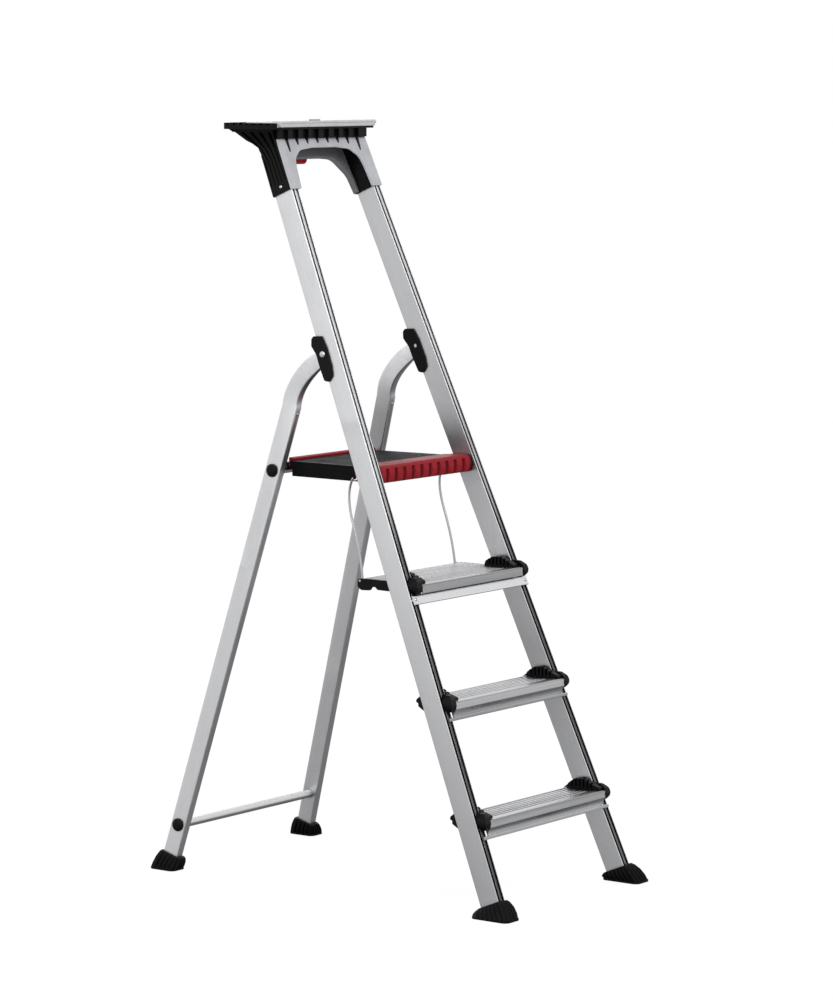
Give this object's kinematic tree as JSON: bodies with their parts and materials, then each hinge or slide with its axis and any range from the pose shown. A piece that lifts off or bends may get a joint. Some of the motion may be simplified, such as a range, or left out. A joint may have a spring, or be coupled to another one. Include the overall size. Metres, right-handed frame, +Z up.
{
  "type": "platform step ladder",
  "caption": "Folding aluminium step ladder with flat ribbed treads, a standing platform that lifts as it folds, a high guard rail and a moulded tool tray on top.",
  "frame": {"origin": "on the floor, at the middle of the box around the ladder as it stands open: midway between the two sides and midway between the front edge of the front feet and the rear edge of the rear feet", "axes": "+Z up, -Y towards the climbing side (front), X across the ladder, which is mirror-symmetric about X = 0"},
  "size_m": [0.514, 0.914, 1.5569],
  "materials": {
    "satin_aluminium": "satin extruded",
    "tread_aluminium": "ribbed satin extruded",
    "black_plastic": "fine moulded grain",
    "charcoal_plastic": "fine moulded grain",
    "grey_plastic": "satin moulded",
    "red_plastic": "satin moulded",
    "foot_rubber": "matte moulded",
    "zinc_steel": "bright zinc"
  },
  "bodies": {
    "front_frame": {"stile_left": "satin_aluminium", "stile_right": "satin_aluminium", "tread_bottom": "tread_aluminium", "tread_middle": "tread_aluminium", "tread_bracket_bottom_left": "black_plastic", "tread_bracket_bottom_right": "black_plastic", "tread_bracket_middle_left": "black_plastic", "tread_bracket_middle_right": "black_plastic", "tread_dome_bottom_left": "black_plastic", "tread_dome_bottom_right": "black_plastic", "tread_dome_middle_left": "black_plastic", "tread_dome_middle_right": "black_plastic", "tread_dome_top_left": "black_plastic", "tread_dome_top_right": "black_plastic", "top_tread_rail": "satin_aluminium", "rail_screw_left": "zinc_steel", "rail_screw_right": "zinc_steel", "front_foot_left": "foot_rubber", "front_foot_right": "foot_rubber", "hinge_bracket_left": "black_plastic", "hinge_bracket_right": "black_plastic", "hinge_pin_left": "zinc_steel", "hinge_pin_right": "zinc_steel", "platform_pin_left": "zinc_steel", "platform_pin_right": "zinc_steel", "tilt_pin_left": "zinc_steel", "tilt_pin_right": "zinc_steel", "tray_socket_left": "black_plastic", "tray_socket_right": "black_plastic", "tray_body": "black_plastic", "tray_top_panel": "grey_plastic", "tray_fascia": "grey_plastic", "tray_handle": "charcoal_plastic", "hook_pin": "zinc_steel", "socket_rivet_left": "zinc_steel", "socket_rivet_right": "zinc_steel"},
    "rear_frame": {"rear_leg_left": "satin_aluminium", "rear_leg_right": "satin_aluminium", "leg_rivet_left": "zinc_steel", "leg_rivet_right": "zinc_steel", "rest_tube": "satin_aluminium", "cross_tube": "satin_aluminium", "rest_cap_left": "black_plastic", "rest_cap_right": "black_plastic", "cross_cap_left": "black_plastic", "cross_cap_right": "black_plastic", "rear_foot_left": "foot_rubber", "rear_foot_right": "foot_rubber"},
    "platform": {"platform_deck": "charcoal_plastic", "platform_nose": "red_plastic", "platform_rear_edge": "red_plastic", "rest_hook_left": "black_plastic", "rest_hook_right": "black_plastic"},
    "top_tread": {"top_tread_panel": "tread_aluminium", "top_tread_cap_left": "black_plastic", "top_tread_cap_right": "black_plastic"},
    "stay_left": {"stay_rod_left": "zinc_steel"},
    "stay_right": {"stay_rod_right": "zinc_steel"},
    "bucket_hook": {"bucket_hook": "red_plastic"}
  },
  "joints": [
    {"name": "fold", "type": "hinge", "parent": "front_frame", "child": "rear_frame", "pos_m": [0, 0.0605, 1.087], "axis": [-1, 0, 0], "range_deg": [0, 38]},
    {"name": "platform_lift", "type": "hinge", "parent": "front_frame", "child": "platform", "pos_m": [0, -0.055, 0.848], "axis": [1, 0, 0], "range_deg": [0, 66]},
    {"name": "tread_tilt", "type": "hinge", "parent": "front_frame", "child": "top_tread", "pos_m": [0, -0.1767, 0.63], "axis": [1, 0, 0], "range_deg": [0, 22.6]},
    {"name": "stay_left_swing", "type": "hinge", "parent": "top_tread", "child": "stay_left", "pos_m": [0, -0.031, 0.634], "axis": [1, 0, 0], "range_deg": [-20.85, 0]},
    {"name": "stay_right_swing", "type": "hinge", "parent": "top_tread", "child": "stay_right", "pos_m": [0, -0.031, 0.634], "axis": [1, 0, 0], "range_deg": [-20.85, 0]},
    {"name": "bucket_hook_swing", "type": "hinge", "parent": "front_frame", "child": "bucket_hook", "pos_m": [0, 0.252, 1.515], "axis": [1, 0, 0], "range_deg": [0, 60]}
  ],
  "couplings": [
    {"joint": "platform_lift", "follows": "fold", "ratio": 1.7368},
    {"joint": "tread_tilt", "follows": "fold", "ratio": 0.59474},
    {"joint": "stay_left_swing", "follows": "fold", "ratio": -0.54868},
    {"joint": "stay_right_swing", "follows": "fold", "ratio": -0.54868}
  ]
}
